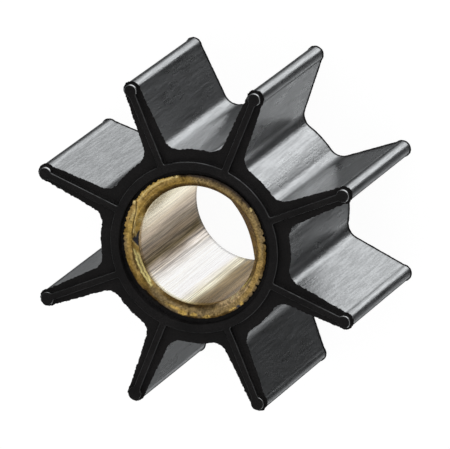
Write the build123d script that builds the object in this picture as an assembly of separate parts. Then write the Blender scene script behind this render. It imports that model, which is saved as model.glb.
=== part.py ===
from build123d import *
import math
import os

# Flexible-vane impeller for the cooling-water pump of an outboard or sterndrive engine.
# A rubber body with eight vanes is moulded onto a knurled brass bushing, whose bore has
# a drive flat. The part stands on one end face, the axis is +Z, the origin is on the axis
# at the bottom, and the first vane and the drive flat both point along +X.
# All sizes are in millimetres.

# Bore of the brass bushing, with its drive flat
BORE_RADIUS = 11.2           # for a 22.2 mm drive shaft
DRIVE_FLAT_DEPTH = 1.6       # from the bore's round wall in to the flat
LEAD_IN_WIDTH = 0.85         # lead-in cone at the end face, outside the bore's edge
LEAD_IN_HALF_ANGLE = 36.0    # degrees, between the cone and the axis

# Brass bushing
BUSHING_WALL = 2.45          # from the bore to the knurl's crests
BUSHING_INSET = 0.6          # bushing end below the raised faces
BUSHING_PROUD = 0.55         # bushing end above the rubber floor round it
KNURL_COUNT = 60
KNURL_DEPTH = 0.35
KNURL_GROOVE_SHARE = 0.46    # share of the pitch that a groove takes at the crests
KNURL_CLEARANCE = 0.0        # moulded on: the rubber fills the knurl

# Rubber body
VANE_COUNT = 8
OVERALL_LENGTH = 36.0        # between the two raised end faces
HUB_LEDGE_WIDTH = 2.0        # from the seal ring out to the hub's edge
VANE_LENGTH = 12.8           # from the hub's edge to the middle of the tip bead
TIP_BEAD_RADIUS = 1.48       # rounded bead along each vane tip
VANE_TIP_THICKNESS = 2.75    # vane just inside the bead
VANE_ROOT_THICKNESS = 4.4    # vane where it leaves the hub
ROOT_FILLET = 2.9            # fillet between a vane and the hub

# Raised sealing relief on both end faces
RELIEF_HEIGHT = 1.0          # from the front ledge up to the raised face
REAR_RELIEF_HEIGHT = 0.4     # the same at the rear end, which is moulded flatter
GROOVE_WIDTH = 0.8           # groove between the bushing and the seal ring
SEAL_RING_WIDTH = 1.65
RIB_WIDTH = 1.25             # rib along the middle of each vane
TIP_PAD_MARGIN = 0.26        # from the bead's edge in to the round pad on it
RELIEF_CORNER_RADIUS = 0.3   # inner corners where a rib meets the ring or a pad
RELIEF_EDGE_BREAK = 0.16     # bevel along the relief's outer edges

# Radii and heights that follow from the sizes above
DRIVE_FLAT_DISTANCE = BORE_RADIUS - DRIVE_FLAT_DEPTH
LEAD_IN_RADIUS = BORE_RADIUS + LEAD_IN_WIDTH
BUSHING_RADIUS = BORE_RADIUS + BUSHING_WALL
SEAL_RING_INNER_RADIUS = BUSHING_RADIUS + GROOVE_WIDTH
SEAL_RING_OUTER_RADIUS = SEAL_RING_INNER_RADIUS + SEAL_RING_WIDTH
HUB_RADIUS = SEAL_RING_OUTER_RADIUS + HUB_LEDGE_WIDTH
TIP_CIRCLE_RADIUS = HUB_RADIUS + VANE_LENGTH
TIP_PAD_RADIUS = TIP_BEAD_RADIUS - TIP_PAD_MARGIN
VANE_PITCH = 360.0 / VANE_COUNT
LOWER_LEDGE = REAR_RELIEF_HEIGHT
UPPER_LEDGE = OVERALL_LENGTH - RELIEF_HEIGHT
BUSHING_BOTTOM = BUSHING_INSET
BUSHING_TOP = OVERALL_LENGTH - BUSHING_INSET
GROOVE_FLOOR_DEPTH = BUSHING_INSET + BUSHING_PROUD


def vane_section():
    """One vane along +X with its tip bead, from inside the hub outwards."""
    root_x = math.sqrt(HUB_RADIUS**2 - (VANE_ROOT_THICKNESS / 2) ** 2)
    slope = (VANE_ROOT_THICKNESS - VANE_TIP_THICKNESS) / (TIP_CIRCLE_RADIUS - root_x)
    inner_x = SEAL_RING_OUTER_RADIUS
    inner_half = (VANE_ROOT_THICKNESS + slope * (root_x - inner_x)) / 2
    tip_half = VANE_TIP_THICKNESS / 2
    web = Polygon(
        (inner_x, -inner_half),
        (TIP_CIRCLE_RADIUS, -tip_half),
        (TIP_CIRCLE_RADIUS, tip_half),
        (inner_x, inner_half),
        align=None,
    )
    return web + Pos(TIP_CIRCLE_RADIUS, 0) * Circle(TIP_BEAD_RADIUS)


def body_section():
    """Hub and vanes as one outline, with the root fillets."""
    section = Circle(HUB_RADIUS)
    for index in range(VANE_COUNT):
        section += Rot(0, 0, index * VANE_PITCH) * vane_section()
    corners = [
        vertex
        for vertex in section.vertices()
        if abs(math.hypot(vertex.X, vertex.Y) - HUB_RADIUS) < 0.01
    ]
    return fillet(corners, ROOT_FILLET)


def relief_section():
    """Seal ring, ribs and tip pads, which stand proud of a ledge."""
    rib_start = SEAL_RING_OUTER_RADIUS - SEAL_RING_WIDTH / 2
    rib_length = TIP_CIRCLE_RADIUS - rib_start
    rib = Pos(rib_start + rib_length / 2, 0) * Rectangle(rib_length, RIB_WIDTH)
    pad = Pos(TIP_CIRCLE_RADIUS, 0) * Circle(TIP_PAD_RADIUS)
    section = Circle(SEAL_RING_OUTER_RADIUS)
    for index in range(VANE_COUNT):
        section += Rot(0, 0, index * VANE_PITCH) * (rib + pad)
    section = fillet(section.vertices(), RELIEF_CORNER_RADIUS)
    return section - Circle(SEAL_RING_INNER_RADIUS)


def relief(ledge, end_face):
    """Relief from one ledge out to the end face, with its edges broken."""
    solid = Pos(0, 0, ledge) * extrude(relief_section(), end_face - ledge)
    rim = [edge for edge in solid.edges() if abs(edge.center().Z - end_face) < 0.001]
    return chamfer(rim, RELIEF_EDGE_BREAK)


def knurl_section(clearance):
    """Straight knurl as one closed outline, with flat crests and V grooves."""
    crest = BUSHING_RADIUS + clearance
    root = crest - KNURL_DEPTH
    pitch = 2 * math.pi / KNURL_COUNT
    half_groove = pitch * KNURL_GROOVE_SHARE / 2
    points = []
    for index in range(KNURL_COUNT):
        middle = (index + 0.5) * pitch
        for radius, angle in (
            (crest, middle - half_groove),
            (root, middle),
            (crest, middle + half_groove),
        ):
            points.append((radius * math.cos(angle), radius * math.sin(angle)))
    return Polygon(*points, align=None)


def bushing_space():
    """What the moulding leaves out for the bushing and for the groove round its ends."""
    groove = extrude(Circle(SEAL_RING_INNER_RADIUS), GROOVE_FLOOR_DEPTH)
    space = extrude(knurl_section(KNURL_CLEARANCE), OVERALL_LENGTH)
    return space + groove + Pos(0, 0, OVERALL_LENGTH - GROOVE_FLOOR_DEPTH) * groove


def rubber_impeller():
    body = Pos(0, 0, LOWER_LEDGE) * extrude(body_section(), UPPER_LEDGE - LOWER_LEDGE)
    body += relief(LOWER_LEDGE, 0)
    body += relief(UPPER_LEDGE, OVERALL_LENGTH)
    return body - bushing_space()


def drive_bore_section():
    """Round bore closed on one side by the drive flat."""
    open_side = Pos(-DRIVE_FLAT_DEPTH, 0) * Rectangle(2 * BORE_RADIUS, 2 * BORE_RADIUS)
    return Circle(BORE_RADIUS) & open_side


def lead_in(end_z, direction):
    """Cone that opens the bore at one end of the bushing."""
    depth = (LEAD_IN_RADIUS - DRIVE_FLAT_DISTANCE) / math.tan(math.radians(LEAD_IN_HALF_ANGLE))
    end_on_top = (Align.CENTER, Align.CENTER, Align.MAX)
    cone = Cone(DRIVE_FLAT_DISTANCE, LEAD_IN_RADIUS, depth, align=end_on_top)
    turn = Rot(0, 0, 0) if direction > 0 else Rot(180, 0, 0)
    return Pos(0, 0, end_z) * turn * cone


def brass_hub_bushing():
    length = BUSHING_TOP - BUSHING_BOTTOM
    blank = extrude(knurl_section(0), length)
    bore = extrude(drive_bore_section(), length)
    bushing = Pos(0, 0, BUSHING_BOTTOM) * (blank - bore)
    bushing -= lead_in(BUSHING_TOP, 1)
    bushing -= lead_in(BUSHING_BOTTOM, -1)
    return bushing


def main():
    os.makedirs("parts", exist_ok=True)
    export_step(rubber_impeller(), "parts/rubber_impeller.step")
    export_step(brass_hub_bushing(), "parts/brass_hub_bushing.step")


main()
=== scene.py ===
import math

import bpy
import numpy as np
from mathutils import Matrix, Vector, noise
from mathutils.geometry import delaunay_2d_cdt


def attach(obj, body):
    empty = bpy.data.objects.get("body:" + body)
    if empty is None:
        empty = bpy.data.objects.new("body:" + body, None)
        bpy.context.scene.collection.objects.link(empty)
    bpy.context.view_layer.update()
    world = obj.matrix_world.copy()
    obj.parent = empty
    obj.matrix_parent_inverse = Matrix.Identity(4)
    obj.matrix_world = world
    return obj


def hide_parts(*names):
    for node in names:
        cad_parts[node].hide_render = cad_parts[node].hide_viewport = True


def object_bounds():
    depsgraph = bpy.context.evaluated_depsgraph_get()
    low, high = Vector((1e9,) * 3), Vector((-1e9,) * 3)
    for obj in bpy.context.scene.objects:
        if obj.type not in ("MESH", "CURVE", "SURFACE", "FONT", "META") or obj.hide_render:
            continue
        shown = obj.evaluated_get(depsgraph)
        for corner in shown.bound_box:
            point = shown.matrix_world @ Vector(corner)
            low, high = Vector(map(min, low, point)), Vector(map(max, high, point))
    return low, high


# Looks of a flexible-vane pump impeller: a dense rubber body with torn moulding flash and a
# brass bushing with a rough end and a streaked bore stand for the two plain CAD nodes.
# Lengths are in millimetres until a mesh is made. The axis is +Z, the first vane points
# along +X and the end face in the photograph is the upper one.

MM = 0.001
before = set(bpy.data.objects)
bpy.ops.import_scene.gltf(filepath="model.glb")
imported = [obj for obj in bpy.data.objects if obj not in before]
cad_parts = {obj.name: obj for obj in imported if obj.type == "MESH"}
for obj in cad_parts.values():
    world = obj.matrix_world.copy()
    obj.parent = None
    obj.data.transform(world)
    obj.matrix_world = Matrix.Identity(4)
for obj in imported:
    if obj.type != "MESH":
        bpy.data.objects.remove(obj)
cad_low, cad_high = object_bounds()

# Sizes of the CAD part. Its reach over the vane tips and its length come from the frame.
VANES = 8
BEAD = 1.48                 # rounded bead along each vane tip
LENGTH = round((cad_high[2] - cad_low[2]) / MM, 2)
TIP_CIRCLE = round(cad_high[0] / MM - BEAD, 2)
TIP_HALF = 1.375            # half a vane's thickness at its tip
ROOT_HALF = 2.2             # and where it leaves the hub
ROOT_FILLET = 2.9
BORE = 11.2
FLAT = BORE - 1.6           # from the axis to the drive flat
LEAD_IN = BORE + 0.85       # radius of the lead-in cone at the end face
CONE_SLOPE = math.tan(math.radians(36.0))   # width of that cone over its depth
CREST = BORE + 2.45         # radius of the knurl's crests, a wall outside the bore
KNURLS = 60
KNURL_DEPTH = 0.35
KNURL_SHARE = 0.46          # share of the pitch that a groove takes
RING_IN = CREST + 0.8       # the raised seal ring, a groove outside the bushing
RING_OUT = RING_IN + 1.65
HUB = RING_OUT + 2.0        # the hub's edge, a ledge outside the ring
RIB_HALF = 0.625            # half the width of the raised rib on each vane
PAD = BEAD - 0.26           # raised round pad on each bead
RELIEF = 1.0                # height of the raised parts, front and rear
REAR_RELIEF = 0.4
RELIEF_CORNER = 0.3
BRASS_LOW = 0.6             # the bushing's two ends
BRASS_HIGH = LENGTH - BRASS_LOW
GROOVE_DEPTH = BRASS_LOW + 0.55             # from the end face to the floor round the bushing
UPPER = LENGTH - RELIEF     # the two ledges
LOWER = REAR_RELIEF

# Detail that only this script adds
STEP = 0.17                 # spacing of the points along an outline
SEED_STEP = 0.42            # spacing of the points inside the ledges
FACE_SEED_STEP = 0.45       # and inside the raised faces
SEED_GAP = 0.12             # least distance from those points to an outline
BEYOND = 33.0               # a little past the vane tips
CREASE = 1.2                # fillet where a vane's flank meets its bead
FLASH_LEAST = 0.07          # how far the torn flash stands out from the walls, at least
FLASH_TEETH = 0.20          # and how much further at its longest teeth, at the front
REAR_LEAST = 0.13           # the same at the rear, where the flash is a plain thin line
REAR_TEETH = 0.06
LEDGE_INSET = 0.25          # from the wall in to where the ledge itself starts
RIB_BEVEL = 0.13            # worn bevel along the ring's and the ribs' upper edges
PAD_BEVEL = 0.17            # the same on the round pads on the tips
PAD_WEAR = (0.75, 0.85, 1.0, 0.9, 0.3, 0.12, 0.32, 0.7)   # share of it on each vane's pad
SKIRT = 0.13                # hollow where the raised parts meet the ledge
GROOVE_ROUND = 0.14         # rounded upper edge of the groove round the bushing
WALL_ROWS = 11              # rings between the two ends of the outer walls

random = np.random.default_rng(7)   # the one source of chance


# Outlines


def turned(points, angle):
    """Points turned about the axis."""
    c, s = math.cos(angle), math.sin(angle)
    return points @ np.array(((c, s), (-s, c)))


def arc(centre, radius, start, end, least=2):
    """Points along an arc from angle start to angle end."""
    count = max(least, math.ceil(abs(end - start) * radius / STEP)) + 1
    angles = np.linspace(start, end, count)
    return np.asarray(centre) + radius * np.column_stack((np.cos(angles), np.sin(angles)))


def straight(first, last):
    """Points along a straight line."""
    count = max(1, math.ceil(np.linalg.norm(last - first) / STEP)) + 1
    return np.linspace(first, last, count)


def heading(vector):
    """Angle of a vector, from the first axis."""
    return math.atan2(vector[1], vector[0])


def half_vane(hub, tip_half, slope, bead, crease, root):
    """Half of one vane's outline, from the tip back to the middle of the hub's arc."""
    normal = np.array((slope, 1.0)) / math.hypot(slope, 1.0)
    back = np.array((-1.0, slope)) / math.hypot(slope, 1.0)
    tip = np.array((TIP_CIRCLE, 0.0))
    edge = (tip_half + slope * TIP_CIRCLE) / math.hypot(slope, 1.0)
    rise = tip_half / math.hypot(slope, 1.0) + crease
    small = tip + rise * normal + math.sqrt((bead + crease) ** 2 - rise**2) * back
    reach = math.sqrt((hub + root) ** 2 - (edge + root) ** 2)
    large = (edge + root) * normal - reach * back
    root_end = heading(-large)
    if root_end > 0:
        root_end -= 2 * math.pi
    parts = [
        arc(tip, bead, 0.0, heading(small - tip)),
        arc(small, crease, heading(tip - small), heading(-normal), 3),
        straight(small - crease * normal, large - root * normal),
        arc(large, root, heading(-normal), root_end, 3),
        arc((0.0, 0.0), hub, heading(large), math.pi / VANES),
    ]
    return np.vstack([part[:-1] for part in parts] + [parts[-1][-1:]])


def outline(*sizes):
    """Closed outline of the hub and all vanes, anticlockwise."""
    half = half_vane(*sizes)
    mirrored = half[::-1] * (1.0, -1.0)
    sector = np.vstack((mirrored[:-1], half[:-1]))
    turns = [turned(sector, index * 2 * math.pi / VANES) for index in range(VANES)]
    return np.vstack(turns)


def circle(radius, count):
    """Points of a full circle, anticlockwise."""
    angles = np.arange(count) * 2 * math.pi / count
    return radius * np.column_stack((np.cos(angles), np.sin(angles)))


def normals(points):
    """Outward normals of a closed anticlockwise outline."""
    along = np.roll(points, -1, axis=0) - np.roll(points, 1, axis=0)
    along /= np.linalg.norm(along, axis=1)[:, None]
    return np.column_stack((along[:, 1], -along[:, 0]))


def waves(points, height, scale, octaves=3, seed=0.0):
    """Smooth noise from about -1 to 1 at each point of an outline."""
    return np.array([
        noise.fractal(Vector((x * scale, y * scale, height * scale + seed)), 0.7, 2.1, octaves)
        for x, y in points
    ])


def knurl_radius(angles):
    """Radius of the knurled outside at each angle."""
    pitch = 2 * math.pi / KNURLS
    away = np.abs(np.mod(angles, pitch) - pitch / 2)
    depth = np.clip(1 - away / (pitch * KNURL_SHARE / 2), 0, 1)
    return CREST - KNURL_DEPTH * depth


# Meshes


def within(points, ring):
    """Which of the points lie inside a closed ring."""
    inside = np.zeros(len(points), bool)
    x, y = points[:, 0], points[:, 1]
    for (ax, ay), (bx, by) in zip(ring, np.roll(ring, -1, axis=0)):
        if ay != by:
            crosses = (ay > y) != (by > y)
            inside ^= crosses & (x < (bx - ax) * (y - ay) / (by - ay) + ax)
    return inside


class Skin:
    """Collects rings of points and the faces between them."""

    def __init__(self):
        self.points = []
        self.count = 0
        self.faces = []
        self.paint = []
        self.tints = []

    def ring(self, flat, height, tint=None):
        """Adds one closed ring and gives its first index."""
        first = self.count
        if tint is not None:
            self.tints.append(tint)
        heights = np.broadcast_to(height, (len(flat),))
        self.points.append(np.column_stack((flat, heights)))
        self.count += len(flat)
        return first

    def strip(self, lower, upper, count, paint):
        """Quads between two rings of the same size."""
        here = np.arange(count)
        there = (here + 1) % count
        quads = np.column_stack((lower + here, lower + there, upper + there, upper + here))
        self.faces.extend(quads.tolist())
        self.paint.extend(np.broadcast_to(paint, count).tolist())

    def stack(self, rings, count, paint):
        """Quads between each ring and the next."""
        for lower, upper in zip(rings, rings[1:]):
            self.strip(lower, upper, count, paint)

    def fill(self, rings, seeds, height, up, paint):
        """Triangles between two closed rings that lie in one face, through the seed points."""
        flat, edges, known = [], [], []
        for first, points in rings:
            start, count = len(flat), len(points)
            flat.extend(points.tolist())
            known.extend(range(first, first + count))
            edges.extend((start + i, start + (i + 1) % count) for i in range(count))
        border = np.array(flat)
        gaps = np.array([np.min(np.hypot(*(border - seed).T)) for seed in seeds])
        flat.extend(seeds[gaps > SEED_GAP].tolist())
        spots, _, cells, origins, _, _ = delaunay_2d_cdt(
            [Vector(point) for point in flat], edges, [], 2, 1e-6
        )
        middles = np.array([sum((spots[i] for i in cell), Vector((0, 0))) / 3 for cell in cells])
        kept = within(middles, rings[0][1]) & ~within(middles, rings[1][1])
        index = {
            spot: known[origin[0]]
            for spot, origin in enumerate(origins)
            if origin and origin[0] < len(known)
        }
        fresh = []
        for cell, keep in zip(cells, kept):
            if not keep:
                continue
            for spot in cell:
                if spot not in index:
                    index[spot] = self.count + len(fresh)
                    fresh.append(spots[spot][:])
            a, b, c = (spots[spot] for spot in cell)
            corners = [index[spot] for spot in cell]
            anticlockwise = (b - a).cross(c - a) > 0
            self.faces.append(corners if anticlockwise == up else corners[::-1])
            self.paint.append(paint)
        fresh = np.array(fresh)
        self.ring(fresh, height(fresh))

    def build(self, name, materials, sharp_degrees):
        """The object made of all points and faces so far."""
        mesh = bpy.data.meshes.new(name)
        points = np.vstack(self.points) * MM
        mesh.from_pydata(points.tolist(), [], self.faces)
        for material in materials:
            mesh.materials.append(material)
        mesh.polygons.foreach_set("material_index", self.paint)
        mesh.polygons.foreach_set("use_smooth", [True] * len(self.faces))
        mesh.set_sharp_from_angle(angle=math.radians(sharp_degrees))
        if self.tints:
            tint = mesh.color_attributes.new("tint", "FLOAT_COLOR", "POINT")
            colours = np.vstack(self.tints)
            colours = np.column_stack((colours, np.ones(len(colours))))
            tint.data.foreach_set("color", colours.ravel().astype(np.float32))
        mesh.validate()
        mesh.update()
        piece = bpy.data.objects.new(name, mesh)
        bpy.context.scene.collection.objects.link(piece)
        return piece


def scattered(spacing, inner, outer):
    """Jittered seed points on a ring-shaped area round the axis."""
    line = np.arange(-outer, outer, spacing)
    grid = np.stack(np.meshgrid(line, line), axis=-1).reshape(-1, 2)
    grid += random.uniform(-0.35, 0.35, grid.shape) * spacing
    away = np.hypot(grid[:, 0], grid[:, 1])
    return grid[(away > inner) & (away < outer)]


def flash_depth(points, seed):
    """How far the torn flash reaches at each point of the body's outline, from 0 to 1."""
    teeth = waves(points, 0.0, 1.7, 4, seed)
    slow = waves(points, 0.0, 0.35, 2, seed + 40.0)
    crumbs = random.random(len(points)) ** 6
    return np.clip(0.45 + 0.75 * teeth + 0.3 * slow + 0.5 * crumbs, 0.0, 1.0)


# Material slots of the rubber body
SATIN, MATT, EDGE, PAD_EDGE = 0, 1, 2, 3

AROUND_SEAT = 6 * KNURLS    # points of each ring between the groove and the bushing


def torn_rim(skin, body, body_normals, ledge, side):
    """Rings from the wall out over the torn flash and in onto the ledge, and the last outline."""
    flash = flash_depth(body, 3.0 * side)
    least, teeth = (FLASH_LEAST, FLASH_TEETH) if side > 0 else (REAR_LEAST, REAR_TEETH)
    depth = least + flash * teeth
    ragged = 0.2 * teeth * (flash - 0.5)
    rows = (
        (0 * depth, -0.32),
        (0.12 * depth, ragged - 0.17),
        (depth, ragged - 0.04),
        (0.8 * depth, ragged + 0.05),
        (0 * depth - LEDGE_INSET, 0.02),
    )
    rings = []
    for out, rise in rows:
        flat = body + body_normals * out[:, None]
        rings.append(skin.ring(flat, ledge + side * rise))
    return rings, flat


def relief_rows(relief, near_pad, ledge, face, side):
    """Rows up the side of the raised parts and over their worn edge, as (out, height). The edge
    is smaller where they are low."""
    vane = np.round(np.arctan2(relief[:, 1], relief[:, 0]) * VANES / (2 * math.pi)).astype(int)
    pad_bevel = PAD_BEVEL * np.array(PAD_WEAR)[vane % VANES]
    edge = RIB_BEVEL + (pad_bevel - RIB_BEVEL) * near_pad
    lowered = min(1.0, abs(face - ledge) / 0.8)
    edge *= (1 + 0.3 * waves(relief, 5.0, 0.9)) * lowered
    rows = []
    for share in (0.0, 0.35, 0.7, 1.0):
        turn = share * math.pi / 2
        out = SKIRT * (1 - math.sin(turn))
        lift = SKIRT * (1 - math.cos(turn))
        rows.append((np.full(len(relief), out), ledge + side * lift))
    for inward, fall in ((0.0, 1.25), (0.07, 1.03), (0.93, 0.06), (1.2, 0.0)):
        rows.append((-edge * inward, face - side * edge * fall))
    return rows


def raised_parts(skin, ledge, face, side):
    """Seal ring, ribs and pads up to their face. Gives rings, outlines and the edge's paint."""
    relief = outline(RING_OUT, RIB_HALF, 0.0, PAD, RELIEF_CORNER, RELIEF_CORNER)
    relief_normals = normals(relief)
    away = np.hypot(relief[:, 0], relief[:, 1])
    near_pad = np.clip((away - TIP_CIRCLE + 1.6) / 0.9, 0, 1)
    rings, flats = [], []
    for out, height in relief_rows(relief, near_pad, ledge, face, side):
        flats.append(relief + relief_normals * out[:, None])
        rings.append(skin.ring(flats[-1], height))
    edge_paint = np.where(near_pad > 0.75, PAD_EDGE, EDGE)
    return rings, flats, edge_paint


def groove_rings(skin, face, side):
    """Rings down the groove's outer wall and over its floor to the knurl."""
    floor = face - side * GROOVE_DEPTH
    rings = []
    for radius, height in (
        (RING_IN + GROOVE_ROUND, face),
        (RING_IN + 0.05, face - side * 0.03),
        (RING_IN, face - side * 0.12),
        (RING_IN, floor + side * 0.12),
        (RING_IN - 0.1, floor),
    ):
        rings.append(skin.ring(circle(radius, AROUND_SEAT), height))
    angles = np.arange(AROUND_SEAT) * 2 * math.pi / AROUND_SEAT
    seat = knurl_radius(angles)[:, None] * circle(1.0, AROUND_SEAT)
    rings.append(skin.ring(seat, floor))
    return rings


def rubber_end(skin, body, body_normals, side):
    """One end of the rubber body. Gives the rim's first ring and the seat of the bushing."""
    ledge = UPPER if side > 0 else LOWER
    face = LENGTH if side > 0 else 0.0
    rim, inner_rim = torn_rim(skin, body, body_normals, ledge, side)
    raised, flats, edge_paint = raised_parts(skin, ledge, face, side)
    groove = groove_rings(skin, face, side)

    def ledge_height(flat):
        return ledge + side * 0.03 * waves(flat, 9.0, 0.8, 3, side)

    def face_height(flat):
        return face - side * 0.015 * (1 + waves(flat, 2.0, 0.5, 2, side))

    # Of the raised rings, the fifth to the seventh bound the worn edge
    up = side > 0
    points = len(edge_paint)
    skin.stack(rim[::side], len(body), MATT)
    ledge_rings = [(rim[-1], inner_rim), (raised[0], flats[0])]
    skin.fill(ledge_rings, scattered(SEED_STEP, RING_OUT, BEYOND), ledge_height, up, MATT)
    skin.stack(raised[:5][::side], points, MATT)
    skin.stack(raised[4:7][::side], points, edge_paint)
    skin.stack(raised[6:][::side], points, MATT)
    groove_edge = circle(RING_IN + GROOVE_ROUND, AROUND_SEAT)
    face_rings = [(raised[-1], flats[-1]), (groove[0], groove_edge)]
    skin.fill(face_rings, scattered(FACE_SEED_STEP, RING_IN, BEYOND), face_height, up, MATT)
    skin.stack(groove[::side], AROUND_SEAT, MATT)
    return rim[0], groove[-1]


def rubber_body():
    """The whole rubber body as one closed skin."""
    skin = Skin()
    slope = (ROOT_HALF - TIP_HALF) / (TIP_CIRCLE - math.sqrt(HUB**2 - ROOT_HALF**2))
    body = outline(HUB, TIP_HALF, slope, BEAD, CREASE, ROOT_FILLET)
    body_normals = normals(body)
    low_rim, low_seat = rubber_end(skin, body, body_normals, -1)
    high_rim, high_seat = rubber_end(skin, body, body_normals, 1)
    walls = [low_rim]
    for height in np.linspace(LOWER + 0.6, UPPER - 0.6, WALL_ROWS):
        sag = 0.02 * waves(body, height * 0.15, 0.3, 2)
        walls.append(skin.ring(body + body_normals * sag[:, None], height))
    walls.append(high_rim)
    skin.stack(walls, len(body), SATIN)
    skin.strip(high_seat, low_seat, AROUND_SEAT, MATT)
    return skin


# Brass bushing

AROUND = 1200               # points of each ring
COLUMNS = np.arange(AROUND) * 2 * math.pi / AROUND
DEGREES = np.degrees(COLUMNS)
FACE, WALL = 0, 1           # material slots of the bushing

# Colours of the metal, its oxide and the film of rubber on it. Some of them also paint light: the
# peach and the sand are a painted highlight on the lead-in cone, the brightest yellow is bright
# scraped metal with a painted glint on the burrs, and the dark browns also serve as painted shade in
# the fold and grooves. The dark slate fills the torn notch.
GOLD = (0.54, 0.36, 0.10)
PALE = (0.76, 0.59, 0.26)
BRIGHT_GLINT = (1.0, 0.86, 0.36)
PEACH_HIGHLIGHT = (0.96, 0.72, 0.42)
SAND_HIGHLIGHT = (0.66, 0.48, 0.26)
HONEY = (0.40, 0.265, 0.09)
DULL = (0.30, 0.21, 0.09)
OCHRE = (0.275, 0.172, 0.042)
RUSSET = (0.155, 0.097, 0.027)
DRAB = (0.23, 0.165, 0.08)
TAUPE = (0.15, 0.106, 0.054)
BROWN = (0.10, 0.058, 0.017)
UMBER = (0.035, 0.022, 0.010)
FILM = (0.034, 0.027, 0.024)
SLATE = (0.045, 0.049, 0.065)
PLAIN = np.tile(OCHRE, (AROUND, 1))   # a whole ring in one colour

# Colours of the end by azimuth, on five circles from the bore's edge out to the knurl. The two inner
# circles lie on the lead-in cone, and there the colours are partly the metal's own and partly
# painted shade and painted highlight: dark brown where the cone faces away from the light, peach and
# sand where it catches it.
ZONES = (
    (11.5, (
        (0, RUSSET), (70, RUSSET), (96, BROWN), (112, RUSSET), (126, RUSSET), (130, GOLD),
        (136, PALE), (140, GOLD), (165, GOLD), (172, PALE), (184, PALE), (198, HONEY),
        (207, DULL), (215, BROWN), (228, BROWN), (242, UMBER), (252, BROWN), (266, TAUPE),
        (275, PEACH_HIGHLIGHT), (294, PEACH_HIGHLIGHT), (302, GOLD), (312, DULL), (334, DULL), (342, OCHRE),
        (352, OCHRE),
    )),
    (11.92, (
        (0, RUSSET), (62, RUSSET), (74, OCHRE), (100, OCHRE), (109, HONEY), (128, GOLD),
        (142, GOLD), (152, HONEY), (158, OCHRE), (166, HONEY), (178, HONEY), (192, OCHRE),
        (204, DRAB), (230, DRAB), (240, DULL), (256, TAUPE), (266, DULL), (277, SAND_HIGHLIGHT),
        (303, SAND_HIGHLIGHT), (311, DULL), (320, RUSSET),
    )),
    (12.4, (
        (0, DULL), (62, DULL), (72, OCHRE), (124, OCHRE), (131, GOLD), (145, GOLD), (156, OCHRE),
        (170, HONEY), (182, HONEY), (192, OCHRE), (200, RUSSET), (208, TAUPE), (217, DRAB),
        (227, GOLD), (236, HONEY), (246, DRAB), (272, DRAB), (285, DULL), (305, HONEY),
        (345, HONEY),
    )),
    (12.9, (
        (0, DULL), (14, DULL), (24, TAUPE), (52, TAUPE), (64, DRAB), (76, OCHRE), (90, HONEY),
        (116, HONEY), (126, GOLD), (134, PALE), (142, GOLD), (150, GOLD), (160, HONEY),
        (172, OCHRE), (187, OCHRE), (195, RUSSET), (200, BROWN), (212, BROWN), (222, TAUPE),
        (234, DRAB), (250, DRAB), (262, DULL), (285, DULL), (300, HONEY), (328, HONEY),
        (338, DULL), (350, DRAB),
    )),
    (13.38, (
        (0, TAUPE), (11, TAUPE), (16, FILM), (68, FILM), (79, UMBER), (82, GOLD), (117, GOLD),
        (126, HONEY), (138, HONEY), (148, OCHRE), (158, DRAB), (172, OCHRE), (180, BROWN),
        (192, BROWN), (199, FILM), (232, FILM), (242, UMBER), (252, BROWN), (274, BROWN),
        (288, TAUPE), (304, TAUPE), (314, DRAB), (324, BROWN), (338, RUSSET), (350, DRAB),
    )),
)

# Spots on the end as (azimuth, radius, half width in degrees, half height, colour)
SPOTS = (
    (13, 13.4, 1.5, 0.3, PALE), (82, 13.4, 2.0, 0.3, PALE), (124, 13.8, 1.6, 0.35, PALE),
    (138, 13.2, 0.9, 0.12, UMBER), (236, 12.85, 4.0, 0.42, GOLD), (246, 12.85, 3.0, 0.36, GOLD),
    (257, 13.2, 3.0, 0.3, GOLD), (280, 13.2, 3.0, 0.18, GOLD), (289, 13.3, 1.8, 0.28, GOLD),
    (241.5, 12.9, 0.8, 0.6, BROWN), (250.5, 13.0, 1.3, 0.6, TAUPE), (285.5, 13.4, 1.4, 0.3, SLATE),
    (304.5, 12.35, 0.7, 0.15, UMBER),
)

# Lines on the end as (azimuth and radius of each point, colour, half width, rise). The pale and
# bright lines, which rise, are scraped metal on the burrs and the lip's torn edge with a painted
# highlight. The dark lines, which sink, are painted shade in the fold and in the grooves beside the
# burrs.
FOLD = ((122, 13.6), (126, 13.1), (130, 12.65), (140, 12.35), (150, 12.1), (166, 12.15), (184, 12.2))
LINES = (
    (FOLD, UMBER, 0.10, -0.12),
    (((84, 13.35), (98, 13.45), (112, 13.45), (121, 13.3)), PALE, 0.12, 0.05),
    (((94, 13.05), (108, 12.98), (119, 12.8)), RUSSET, 0.10, -0.05),
    (((125, 12.95), (131, 12.42), (141, 12.12), (149, 11.9)), PALE, 0.08, 0.06),
    (((138, 12.05), (146, 11.85), (153, 11.6)), PALE, 0.06, 0.03),
    (((156, 12.05), (163, 11.3)), PALE, 0.06, 0.03),
    (((164, 11.98), (180, 11.93), (200, 11.9)), BROWN, 0.07, -0.04),
    (((166, 11.72), (174, 11.57), (184, 11.53), (197, 11.6)), BROWN, 0.08, -0.04),
    (((164, 11.85), (170, 11.76), (180, 11.76), (190, 11.72), (201, 11.74)), BRIGHT_GLINT, 0.12, 0.10),
    (((168, 11.58), (173, 11.4), (180, 11.34), (190, 11.36), (198, 11.5)), BRIGHT_GLINT, 0.12, 0.08),
    (((297, 11.28), (304, 11.42), (309, 11.6), (313, 11.8)), BRIGHT_GLINT, 0.08, 0.03),
)

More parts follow.
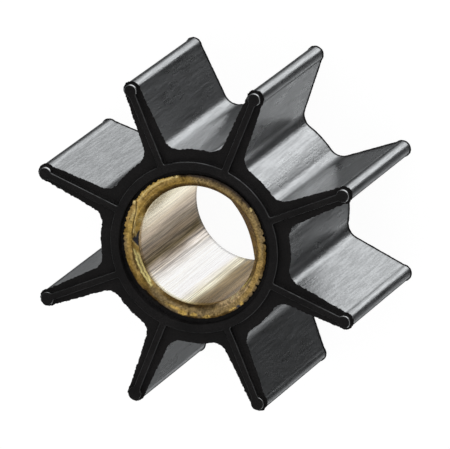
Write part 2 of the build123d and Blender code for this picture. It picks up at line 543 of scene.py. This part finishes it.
# How far the smeared lip stands out past the knurl's crests, by azimuth
LIP = (
    (0, 0.0), (13, 0.08), (16, -0.05), (78, -0.1), (81, 0.02), (92, 0.06), (97, 0.28), (116, 0.28),
    (121, 0.22), (124, 0.48), (128, 0.28), (150, 0.1), (165, 0.0), (185, -0.14), (198, -0.3),
    (201, -0.6), (212, -0.56), (228, -0.3), (240, -0.2), (256, -0.1), (280, -0.02), (350, 0.03),
)

# Torn notch in the bore's edge: its azimuth, its outer radius and its half width in degrees
NOTCH_AT = 155.0
NOTCH_TOP = 12.05
NOTCH_HALF = 8.5

# Stretches of the end as (first and last azimuth, degrees over which they fade)
SMEARED = (75, 205, 20)
TORN_LIP = (80, 170, 8)
RAISED_FLAP = (166, 199, 2)
OPEN_KNURL = (288, 357, 8)


def bore_radius(angles):
    """Distance from the axis to the bore's wall or to its drive flat."""
    ahead = np.cos(angles)
    flat = np.where(ahead > 0.5, FLAT / np.maximum(ahead, 0.5), BORE)
    return np.minimum(flat, BORE)


def turn_from(azimuth):
    """Degrees from an azimuth to each column."""
    return (DEGREES - azimuth + 180) % 360 - 180


def window(start, end, soft):
    """1 between two azimuths and 0 outside, with soft ends."""
    away = np.abs(turn_from((start + end) / 2))
    return np.clip(((end - start) / 2 - away) / soft + 0.5, 0, 1)


def rough(radii, height, scale, octaves, seed):
    """Noise at each column of a ring, from its place on the part and a seed."""
    flat = np.column_stack((radii * np.cos(COLUMNS), radii * np.sin(COLUMNS)))
    return waves(flat, height, scale, octaves, seed)


def round_stops(stops):
    """Colours at each column, from a table of (azimuth, colour)."""
    at = [stop[0] for stop in stops]
    return np.column_stack([
        np.interp(DEGREES, at, [stop[1][channel] for stop in stops], period=360)
        for channel in range(3)
    ])


def line_mask(points, radius, half_width):
    """1 on a line across the end, drawn through points given by azimuth and radius."""
    at, radii = zip(*points)
    away = (radius - np.interp(DEGREES, at, radii)) / half_width
    return np.exp(-away**2) * window(at[0], at[-1], 2)


def notch_mask(radius):
    """1 in the torn notch, which narrows outwards."""
    reach = NOTCH_HALF * (NOTCH_TOP - radius) / (NOTCH_TOP - BORE)
    return np.clip(reach - np.abs(turn_from(NOTCH_AT)) + 0.5, 0, 1)


def end_tint(radius):
    """Colours of one ring of the bushing's end and its lead-in cone, with painted shade and painted
    highlights among them.
    """
    at = radius + 0.12 * rough(radius, 0.0, 1.3, 4, 91.0)
    speckle = rough(radius, 0.0, 4.0, 3, 95.0)
    colour = round_stops(ZONES[0][1])
    for (inner, _), (outer, stops) in zip(ZONES, ZONES[1:]):
        share = np.clip((at - inner) / (outer - inner), 0, 1)
        share = (share**2 * (3 - 2 * share))[:, None]
        colour = colour * (1 - share) + round_stops(stops) * share
    for azimuth, middle, half_width, half_height, paint in SPOTS:
        away = np.hypot(turn_from(azimuth) / half_width, (at - middle) / half_height)
        share = np.clip((1.1 - away + 0.5 * speckle) / 0.3, 0, 1)[:, None]
        colour = colour * (1 - share) + np.array(paint) * share
    share = notch_mask(at)[:, None]
    colour = colour * (1 - share) + np.array(SLATE) * share
    slow = rough(radius, 0.0, 0.8, 3, 101.0)
    fine = rough(radius, 0.0, 3.0, 3, 111.0)
    contrast = 0.65 - 0.3 * window(*SMEARED)
    colour = colour * np.clip(1.0 + 0.4 * slow + contrast * fine, 0.4, 1.8)[:, None]
    # Painted highlights along the burrs and painted shade in the fold and grooves, drawn over the
    # rest
    for points, paint, half_width, _ in LINES:
        share = line_mask(points, at, half_width)[:, None]
        colour = colour * (1 - share) + np.array(paint) * share
    return np.clip(colour, 0.01, 1.0)


def end_rise(radius):
    """How far one ring of the end stands above or below its true height."""
    rise = 0.03 * rough(radius, 0.0, 2.2, 4, 11.0)
    rise += 0.06 * np.abs(rough(radius, 0.0, 0.9, 3, 31.0)) - 0.03
    for points, _, half_width, height in LINES:
        rise += height * line_mask(points, radius, half_width)
    return rise - 0.2 * notch_mask(radius)


def bore_rings(bore, low, high):
    """Rings up the bore's wall, as (radius, height, colours, paint)."""
    return [(bore, low + (high - low) * share, PLAIN, WALL) for share in np.linspace(0, 1, 20)]


def cone_rings(bore, high):
    """Rings up and out over the lead-in cone in front."""
    rings = []
    for share in np.linspace(0.06, 0.95, 11):
        radius = bore + (LEAD_IN - bore) * share
        height = high + (BRASS_HIGH - high) * share + share * end_rise(radius)
        rings.append((radius, height, end_tint(radius), FACE))
    return rings


def end_rings(crest):
    """Rings over the front end, its smeared and torn lip, and down behind the lip, with painted
    shade in the knurl's open gaps and down the lip's back.
    """
    ragged = rough(CREST, 1.0, 1.5, 4, 51.0)
    teeth = rough(CREST, 2.0, 2.4, 3, 55.0)
    lip = np.interp(DEGREES, [at for at, _ in LIP], [out for _, out in LIP], period=360)
    lip = lip + (0.12 * ragged + 0.16 * teeth) * window(*TORN_LIP) + 0.03 * ragged
    torn = np.clip(lip / 0.2, 0, 1) * window(*TORN_LIP)
    openness = np.clip(0.8 + 2.0 * rough(CREST, 4.0, 1.1, 2, 57.0), 0.0, 1.9)
    gaps = (CREST - crest) * (0.15 + 1.2 * openness * window(*OPEN_KNURL))
    out = CREST - gaps + lip
    rings = []
    for share in np.linspace(0, 1, 17):
        radius = LEAD_IN + (out - 0.1 - LEAD_IN) * share
        flap = window(*RAISED_FLAP) * min(1.0, max(0.0, (share - 0.2) / 0.1))
        rise = end_rise(radius) + 0.14 * flap + 0.16 * torn * share**3
        rings.append((radius, BRASS_HIGH + rise, end_tint(radius), FACE))
    # Painted shade: darker where the knurl's gaps open, and darker again down the back of the lip
    gap_shade = np.clip(gaps / KNURL_DEPTH, 0, 0.9)[:, None]
    colour = end_tint(CREST) * (1 - gap_shade)
    rings.append((out - 0.02, BRASS_HIGH - 0.05 + 0.03 * ragged + 0.14 * torn, colour, FACE))
    rings.append((out - 0.03, BRASS_HIGH - 0.22, colour * 0.5, FACE))
    rings.append((np.minimum(crest, out), BRASS_HIGH - 0.5, colour * 0.3, FACE))
    rings.append((crest, BRASS_HIGH - 0.56, colour * 0.3, FACE))
    return rings


def rear_rings(bore, crest, low):
    """Rings down the knurl, over the plain rear end and in over its lead-in cone."""
    rings = [
        (crest, LENGTH / 2, PLAIN, FACE),
        (crest, BRASS_LOW + 0.3, PLAIN, FACE),
        (crest - 0.05, BRASS_LOW + 0.06, PLAIN, FACE),
    ]
    for share in (1.0, 0.7, 0.4, 0.0):
        radius = LEAD_IN + (CREST - 0.12 - LEAD_IN) * share
        grain = rough(radius, 30.0, 1.6, 3, 71.0)
        colour = np.clip(np.array(GOLD) * (0.7 + 0.5 * grain[:, None]), 0.02, 1)
        rings.append((radius, BRASS_LOW + 0.03 * (1 + grain), colour, FACE))
    for share in (0.66, 0.33):
        radius = bore + (LEAD_IN - bore) * share
        rings.append((radius, low + (BRASS_LOW - low) * share, PLAIN, FACE))
    return rings


def brass_body():
    """The bushing as one closed skin."""
    bore = bore_radius(COLUMNS)
    crest = knurl_radius(COLUMNS)
    cone_depth = (LEAD_IN - bore) / CONE_SLOPE
    low = BRASS_LOW + cone_depth
    high = BRASS_HIGH - cone_depth
    rings = bore_rings(bore, low, high) + cone_rings(bore, high)
    rings += end_rings(crest) + rear_rings(bore, crest, low)
    skin = Skin()
    firsts = []
    for radius, height, colours, _ in rings:
        flat = np.column_stack((radius * np.cos(COLUMNS), radius * np.sin(COLUMNS)))
        firsts.append(skin.ring(flat, height, colours))
    for index, (_, _, _, paint) in enumerate(rings):
        following = (index + 1) % len(rings)
        both = WALL if paint == rings[following][3] == WALL else FACE
        skin.strip(firsts[following], firsts[index], AROUND, both)
    return skin


# Materials

WHITE = (1.0, 1.0, 1.0, 1.0)


class Graph:
    """Short names for building one node tree."""

    def __init__(self, tree):
        self.tree = tree
        tree.nodes.clear()

    def add(self, kind, **values):
        """A new node with its settings."""
        node = self.tree.nodes.new(kind)
        for name, value in values.items():
            setattr(node, name, value)
        return node

    def put(self, socket, value):
        """Links another node's output to a socket, or writes a plain value on it."""
        if isinstance(value, bpy.types.NodeSocket):
            self.tree.links.new(value, socket)
        else:
            socket.default_value = value

    def math(self, operation, *inputs, clamp=False):
        """One step of arithmetic."""
        node = self.add("ShaderNodeMath", operation=operation, use_clamp=clamp)
        for socket, value in zip(node.inputs, inputs):
            self.put(socket, value)
        return node.outputs[0]

    def blend(self, share, first, second):
        """A share of the first number and the rest of the second."""
        part = self.math("MULTIPLY", first, share)
        return self.math("ADD", part, self.math("MULTIPLY", second, 1 - share))

    def span(self, value, low, high, to_low, to_high, smooth=False):
        """A number mapped from one span to another and kept inside it."""
        node = self.add("ShaderNodeMapRange")
        if smooth:
            node.interpolation_type = "SMOOTHSTEP"
        names = ("Value", "From Min", "From Max", "To Min", "To Max")
        for name, number in zip(names, (value, low, high, to_low, to_high)):
            self.put(node.inputs[name], number)
        return node.outputs[0]

    def place(self, scale):
        """The piece's own coordinates in metres, stretched."""
        source = self.add("ShaderNodeTexCoord").outputs["Object"]
        node = self.add("ShaderNodeMapping")
        self.put(node.inputs["Vector"], source)
        self.put(node.inputs["Scale"], scale)
        return node.outputs[0]

    def parts(self, vector):
        """The three parts of a vector."""
        node = self.add("ShaderNodeSeparateXYZ")
        self.put(node.inputs[0], vector)
        return node.outputs

    def azimuth(self, x, y):
        """Azimuth from 0 to 1, where 1 is a full turn."""
        turn = self.math("DIVIDE", self.math("ARCTAN2", y, x), 2 * math.pi)
        return self.math("FRACT", self.math("ADD", turn, 1.0))

    def noise(self, scale, detail=3.0, roughness=0.5, distortion=0.0):
        """Noise from 0 to 1, with so many cells a metre along each axis."""
        node = self.add("ShaderNodeTexNoise")
        self.put(node.inputs["Vector"], self.place(scale))
        self.put(node.inputs["Scale"], 1.0)
        self.put(node.inputs["Detail"], detail)
        self.put(node.inputs["Roughness"], roughness)
        self.put(node.inputs["Distortion"], distortion)
        return node.outputs["Fac"]

    def ramp(self, value, stops, kind="LINEAR"):
        """A colour read from stops of (place, colour)."""
        node = self.add("ShaderNodeValToRGB")
        node.color_ramp.interpolation = kind
        points = node.color_ramp.elements
        while len(points) > 1:
            points.remove(points[-1])
        for index, (at, colour) in enumerate(stops):
            point = points[0] if index == 0 else points.new(at)
            point.position = at
            point.color = (*colour, 1.0)
        self.put(node.inputs[0], value)
        return node.outputs[0]

    def mix(self, share, first, second):
        """Two colours mixed."""
        node = self.add("ShaderNodeMix", data_type="RGBA")
        self.put(node.inputs["Factor"], share)
        self.put(node.inputs[6], first)
        self.put(node.inputs[7], second)
        return node.outputs[2]

    def scaled(self, colour, level):
        """A colour times a number."""
        node = self.add("ShaderNodeVectorMath", operation="SCALE")
        self.put(node.inputs[0], colour)
        self.put(node.inputs["Scale"], level)
        return node.outputs[0]

    def tinted(self, colour, tint):
        """A colour times another colour."""
        node = self.add("ShaderNodeVectorMath", operation="MULTIPLY")
        self.put(node.inputs[0], colour)
        self.put(node.inputs[1], tint)
        return node.outputs[0]

    def mix_shaders(self, share, first, second):
        """Two shaders mixed."""
        node = self.add("ShaderNodeMixShader")
        for socket, value in zip(node.inputs, (share, first, second)):
            self.put(socket, value)
        return node.outputs[0]

    def bump(self, height, distance, strength=1.0, normal=None):
        """Fine relief, whose distance is in metres."""
        node = self.add("ShaderNodeBump")
        self.put(node.inputs["Height"], height)
        self.put(node.inputs["Distance"], distance)
        self.put(node.inputs["Strength"], strength)
        if normal is not None:
            self.put(node.inputs["Normal"], normal)
        return node.outputs[0]

    def output(self, kind, shader):
        """Ends the tree with a shader."""
        out = self.add(kind)
        self.put(out.inputs["Surface"], shader)

    def surface(self, **values):
        """The material's one shader, with its inputs by name."""
        node = self.add("ShaderNodeBsdfPrincipled")
        for name, value in values.items():
            self.put(node.inputs[name.replace("_", " ")], value)
        self.output("ShaderNodeOutputMaterial", node.outputs[0])


def new_material(name):
    """An empty material and its graph."""
    material = bpy.data.materials.new(name)
    material.use_nodes = True
    return material, Graph(material.node_tree)


def satin_rubber():
    """Moulded walls: dark rubber with a soft shine and a fine grain along the axis."""
    material, graph = new_material("rubber_satin")
    grain = graph.noise((2600, 2600, 130), 3.0, 0.65)
    cloud = graph.noise((260, 260, 90), 3.0, 0.55)
    dust = graph.noise((2600, 2600, 1300), 2.0, 0.6)
    mottle = graph.blend(0.7, grain, dust)
    colour = graph.ramp(mottle, ((0.40, (0.004, 0.0042, 0.0046)), (0.60, (0.036, 0.037, 0.039))))
    normal = graph.bump(grain, 0.00004, 0.5)
    normal = graph.bump(dust, 0.00005, 0.6, normal)
    graph.surface(
        Base_Color=colour, Roughness=graph.span(cloud, 0.35, 0.65, 0.26, 0.34), IOR=1.6,
        Specular_IOR_Level=0.9, Normal=normal,
        Coat_Weight=graph.span(mottle, 0.42, 0.58, 0.45, 1.0), Coat_Roughness=0.26, Coat_IOR=1.95,
        Coat_Normal=normal,
    )
    return material


def matt_rubber():
    """Cut and moulded end faces: dull and near black, with a few pale specks."""
    material, graph = new_material("rubber_matt")
    cloud = graph.noise((160, 160, 160), 4.0, 0.6)
    grit = graph.noise((4200, 4200, 4200), 3.0, 0.7)
    colour = graph.ramp(cloud, ((0.3, (0.0030, 0.0026, 0.0027)), (0.72, (0.0125, 0.0113, 0.0113))))
    shade = graph.scaled(colour, graph.span(grit, 0.35, 0.65, 0.4, 1.6))
    speck = graph.span(grit, 0.72, 0.78, 0.0, 0.3)
    colour = graph.mix(speck, shade, (0.14, 0.12, 0.10, 1.0))
    normal = graph.bump(grit, 0.00008, 0.7)
    graph.surface(
        Base_Color=colour, Roughness=graph.span(cloud, 0.3, 0.7, 0.5, 0.7),
        Specular_IOR_Level=0.12, Normal=normal,
    )
    return material


def edge_rubber():
    """Worn upper edges of the ring and the ribs, polished in places."""
    material, graph = new_material("rubber_edge")
    cloud = graph.noise((260, 260, 260), 3.0, 0.6)
    grit = graph.noise((3600, 3600, 3600), 2.0, 0.6)
    colour = graph.ramp(cloud, ((0.3, (0.006, 0.006, 0.0065)), (0.7, (0.014, 0.0135, 0.0135))))
    graph.surface(
        Base_Color=colour, Roughness=graph.span(cloud, 0.40, 0.60, 0.25, 0.8),
        Specular_IOR_Level=0.8, Normal=graph.bump(grit, 0.00004, 0.5),
    )
    return material


def pad_rubber():
    """Bevels of the round pads on the vane tips, which rub on the pump's covers and shine."""
    material, graph = new_material("rubber_pad")
    cloud = graph.noise((500, 500, 500), 3.0, 0.6)
    graph.surface(
        Base_Color=graph.ramp(cloud, ((0.3, (0.008, 0.008, 0.0085)), (0.7, (0.018, 0.018, 0.018)))),
        Roughness=graph.span(cloud, 0.35, 0.65, 0.15, 0.35), IOR=2.2, Specular_IOR_Level=0.9,
        Coat_Weight=1.0, Coat_Roughness=0.16, Coat_IOR=2.5,
    )
    return material


def rough_brass():
    """The bushing's end: scraped gold patches, brown oxide and a smear of rubber, and painted shade
    and painted highlights, from the colours of its points.
    """
    material, graph = new_material("brass_end")
    tint = graph.add("ShaderNodeAttribute", attribute_name="tint").outputs["Color"]
    patch = graph.noise((1500, 1500, 1500), 4.0, 0.65, distortion=0.4)
    grit = graph.noise((4800, 4800, 4800), 3.0, 0.65)
    shade = graph.scaled(tint, graph.span(patch, 0.3, 0.7, 0.82, 1.18))
    shade = graph.scaled(shade, graph.span(grit, 0.35, 0.65, 0.78, 1.22))
    normal = graph.bump(grit, 0.00004, 0.5)
    normal = graph.bump(patch, 0.00010, 0.5, normal)
    graph.surface(
        Base_Color=shade, Metallic=0.6, Specular_Tint=(0.5, 0.33, 0.12, 1.0),
        Roughness=graph.span(patch, 0.35, 0.65, 0.5, 0.34), Normal=normal,
    )
    return material


# Colours of the bore by azimuth, and how strongly the streaks show there. The colours are the pale
# metal with painted reflections: their light and dark bands stand for the bright and dark sides of
# the studio mirrored in the bore.
BORE_METAL_AND_REFLECTIONS = (
    (0, (1.0, 0.92, 0.78)), (117, (1.0, 0.97, 0.80)), (127, (0.97, 0.90, 0.73)),
    (136, (0.95, 0.90, 0.76)), (143, (0.90, 0.83, 0.69)), (151, (0.70, 0.61, 0.485)),
    (159, (0.45, 0.385, 0.32)), (166, (0.265, 0.225, 0.18)), (173, (0.187, 0.15, 0.115)),
    (182, (0.15, 0.115, 0.06)), (188, (0.31, 0.26, 0.21)), (195, (0.68, 0.63, 0.585)),
    (204, (0.95, 0.93, 0.91)), (214, (1.0, 0.99, 0.98)), (228, (0.97, 0.95, 0.95)),
    (237, (0.80, 0.75, 0.60)), (245, (0.38, 0.30, 0.185)), (253, (0.21, 0.15, 0.075)),
    (262, (0.40, 0.295, 0.155)), (270, (0.265, 0.18, 0.085)), (300, (0.85, 0.75, 0.6)),
)
BORE_STREAKS = (
    (0, 0.1), (120, 0.1), (150, 0.15), (162, 0.3), (176, 0.55), (192, 0.5), (202, 0.1),
    (228, 0.1), (238, 0.36), (270, 0.45), (300, 0.3),
)


def streaked_bore():
    """The broached bore: pale metal with painted reflections in bands round it, and streaks along
    the axis.
    """
    material, graph = new_material("brass_bore")
    x, y, _ = graph.parts(graph.place((1.0, 1.0, 1.0)))
    turn = graph.azimuth(x, y)
    streak = graph.noise((2800, 2800, 18), 4.0, 0.65)
    fine = graph.noise((6000, 6000, 80), 3.0, 0.65)
    broad = graph.noise((420, 420, 60), 3.0, 0.5)
    hue = graph.noise((1500, 1500, 25), 3.0, 0.6)
    shifted = graph.math("ADD", turn, graph.span(broad, 0.3, 0.7, -0.008, 0.008))
    # Painted reflections: the bore's colour goes light and dark by azimuth
    colour = graph.ramp(shifted, [(degrees / 360, colour) for degrees, colour in BORE_METAL_AND_REFLECTIONS])
    depth = graph.ramp(turn, [(degrees / 360, (level,) * 3) for degrees, level in BORE_STREAKS])
    lines = graph.span(graph.blend(0.45, streak, fine), 0.43, 0.57, 1.0, -1.0)
    level = graph.math("SUBTRACT", 1.0, graph.math("MULTIPLY", lines, depth))
    shade = graph.scaled(colour, level)
    yellowed = graph.tinted(shade, (1.0, 0.95, 0.82))
    stained = graph.math("MULTIPLY", graph.span(hue, 0.45, 0.6, 0.0, 1.3), depth, clamp=True)
    metal = graph.mix(stained, shade, yellowed)
    normal = graph.bump(fine, 0.00003, 0.5)
    normal = graph.bump(streak, 0.00008, 0.5, normal)
    graph.surface(
        Base_Color=metal, Metallic=1.0, Specular_Tint=graph.mix(0.5, metal, WHITE),
        Roughness=0.26, Normal=normal,
    )
    return material


# Studio

# Level of the low soft boxes by azimuth
LOW_BOXES = (
    (0, 0.07), (9, 0.3), (17, 1.2), (25, 1.95), (33, 2.2), (50, 2.1), (60, 1.75), (79, 1.5),
    (88, 1.0), (96, 0.5), (104, 0.15), (113, 0.06), (135, 0.05), (152, 0.09), (163, 0.34),
    (172, 0.36), (185, 0.28), (195, 0.15), (205, 0.06), (235, 0.02), (249, 0.02), (257, 0.04),
    (264, 1.02), (274, 0.78), (284, 0.26), (292, 0.2), (301, 0.36), (312, 0.15), (323, 0.07),
    (340, 0.07), (360, 0.07),
)
HIGH_LIGHT = 0.8            # level of the even light from above
COOL = (0.95, 0.98, 1.0, 1.0)

FLOOR_HALF = 2.5            # half the floor's side, in metres
FLOOR_DROP = 0.00002        # how far it lies below the part, in metres

# The camera fitted to the photograph, in metres and degrees. It looks at a point in the plane
# of the upper end face.
CAMERA_AIM = Vector((0.00747, 0.00216, 0.036))
CAMERA_DISTANCE = 1.7871
CAMERA_AZIMUTH = 17.09
CAMERA_ELEVATION = 65.964
CAMERA_ROLL = -127.759
CAMERA_SENSOR = 36.0        # its width and the lens are in millimetres
CAMERA_LENS = 787.8


def studio_world():
    """White behind the object. For every other ray, soft boxes round a dark room."""
    world = bpy.data.worlds.new("studio")
    bpy.context.scene.world = world
    world.use_nodes = True
    world.cycles.sampling_method = "NONE"
    graph = Graph(world.node_tree)
    x, y, z = graph.parts(graph.add("ShaderNodeTexCoord").outputs["Generated"])
    peak = max(level for _, level in LOW_BOXES)
    stops = [(angle / 360, (level / peak,) * 3) for angle, level in LOW_BOXES]
    low = graph.math("MULTIPLY", graph.ramp(graph.azimuth(x, y), stops, "EASE"), peak)
    share = graph.span(z, 0.1, 0.75, 0.0, 1.0, smooth=True)
    low_part = graph.math("MULTIPLY", low, graph.math("SUBTRACT", 1.0, share))
    high_part = graph.math("MULTIPLY", share, HIGH_LIGHT)
    lit = graph.add("ShaderNodeBackground")
    graph.put(lit.inputs["Color"], graph.mix(share, COOL, WHITE))
    graph.put(lit.inputs["Strength"], graph.math("ADD", low_part, high_part))
    plain = graph.add("ShaderNodeBackground")
    graph.put(plain.inputs["Color"], WHITE)
    ray = graph.add("ShaderNodeLightPath")
    seen = graph.mix_shaders(ray.outputs["Is Camera Ray"], lit.outputs[0], plain.outputs[0])
    graph.output("ShaderNodeOutputWorld", seen)


def diffuse(graph, level):
    """A matt grey shader."""
    node = graph.add("ShaderNodeBsdfDiffuse")
    graph.put(node.inputs["Color"], (level, level, level, 1.0))
    return node.outputs[0]


def glow(graph, strength):
    """A white shader that gives its own light."""
    node = graph.add("ShaderNodeEmission")
    graph.put(node.inputs["Strength"], strength)
    return node.outputs[0]


def floor_material():
    """White with a faint shadow for the camera. Metal mirrors white under the bore, and the
    shine on the rubber walls looks through the floor to the soft boxes."""
    material, graph = new_material("floor")
    ray = graph.add("ShaderNodeLightPath")
    seen = graph.add("ShaderNodeAddShader")
    graph.put(seen.inputs[0], glow(graph, 0.95))
    graph.put(seen.inputs[1], diffuse(graph, 0.1))
    plain = graph.mix_shaders(
        ray.outputs["Is Camera Ray"], diffuse(graph, 0.95), seen.outputs[0]
    )
    x, y, _ = graph.parts(graph.place((1.0, 1.0, 0.0)))
    squares = graph.math("ADD", graph.math("MULTIPLY", x, x), graph.math("MULTIPLY", y, y))
    under_bore = graph.math("LESS_THAN", graph.math("SQRT", squares), 1.02 * BORE * MM)
    clear = graph.add("ShaderNodeBsdfTransparent")
    mirrored = graph.mix_shaders(under_bore, clear.outputs[0], glow(graph, 1.0))
    mirrors = graph.math(
        "ADD", ray.outputs["Is Glossy Ray"], ray.outputs["Is Transmission Ray"], clamp=True
    )
    graph.output("ShaderNodeOutputMaterial", graph.mix_shaders(mirrors, plain, mirrored))
    return material


def studio_floor():
    """The plain square under the part."""
    half = FLOOR_HALF
    mesh = bpy.data.meshes.new("floor")
    corners = [(-half, -half, 0), (half, -half, 0), (half, half, 0), (-half, half, 0)]
    mesh.from_pydata(corners, [], [(0, 1, 2, 3)])
    mesh.materials.append(floor_material())
    floor = bpy.data.objects.new("floor", mesh)
    floor.location.z = -FLOOR_DROP
    bpy.context.scene.collection.objects.link(floor)


def photo_camera():
    """The camera at the photograph's angle."""
    azimuth = math.radians(CAMERA_AZIMUTH)
    elevation = math.radians(CAMERA_ELEVATION)
    across = math.cos(elevation)
    back = Vector((across * math.cos(azimuth), across * math.sin(azimuth), math.sin(elevation)))
    right = Vector((-math.sin(azimuth), math.cos(azimuth), 0.0))
    level = Matrix((right, back.cross(right), back)).transposed()
    turn = level @ Matrix.Rotation(math.radians(CAMERA_ROLL), 3, "Z")
    data = bpy.data.cameras.new("photo_camera")
    data.sensor_width = CAMERA_SENSOR
    data.lens = CAMERA_LENS
    data.clip_start = 0.1
    data.clip_end = 20.0
    camera = bpy.data.objects.new("photo_camera", data)
    place = Matrix.Translation(CAMERA_AIM + CAMERA_DISTANCE * back)
    camera.matrix_world = place @ turn.to_4x4()
    bpy.context.scene.collection.objects.link(camera)
    bpy.context.scene.camera = camera


# The scene

rubber = rubber_body().build(
    "rubber_body", (satin_rubber(), matt_rubber(), edge_rubber(), pad_rubber()), sharp_degrees=40
)
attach(rubber, "root")
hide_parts("rubber_impeller")

brass = brass_body().build("brass_bushing", (rough_brass(), streaked_bore()), sharp_degrees=50)
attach(brass, "root")
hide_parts("brass_hub_bushing")

studio_world()
studio_floor()
photo_camera()
bpy.context.scene.view_settings.view_transform = "Standard"

bpy.context.view_layer.update()
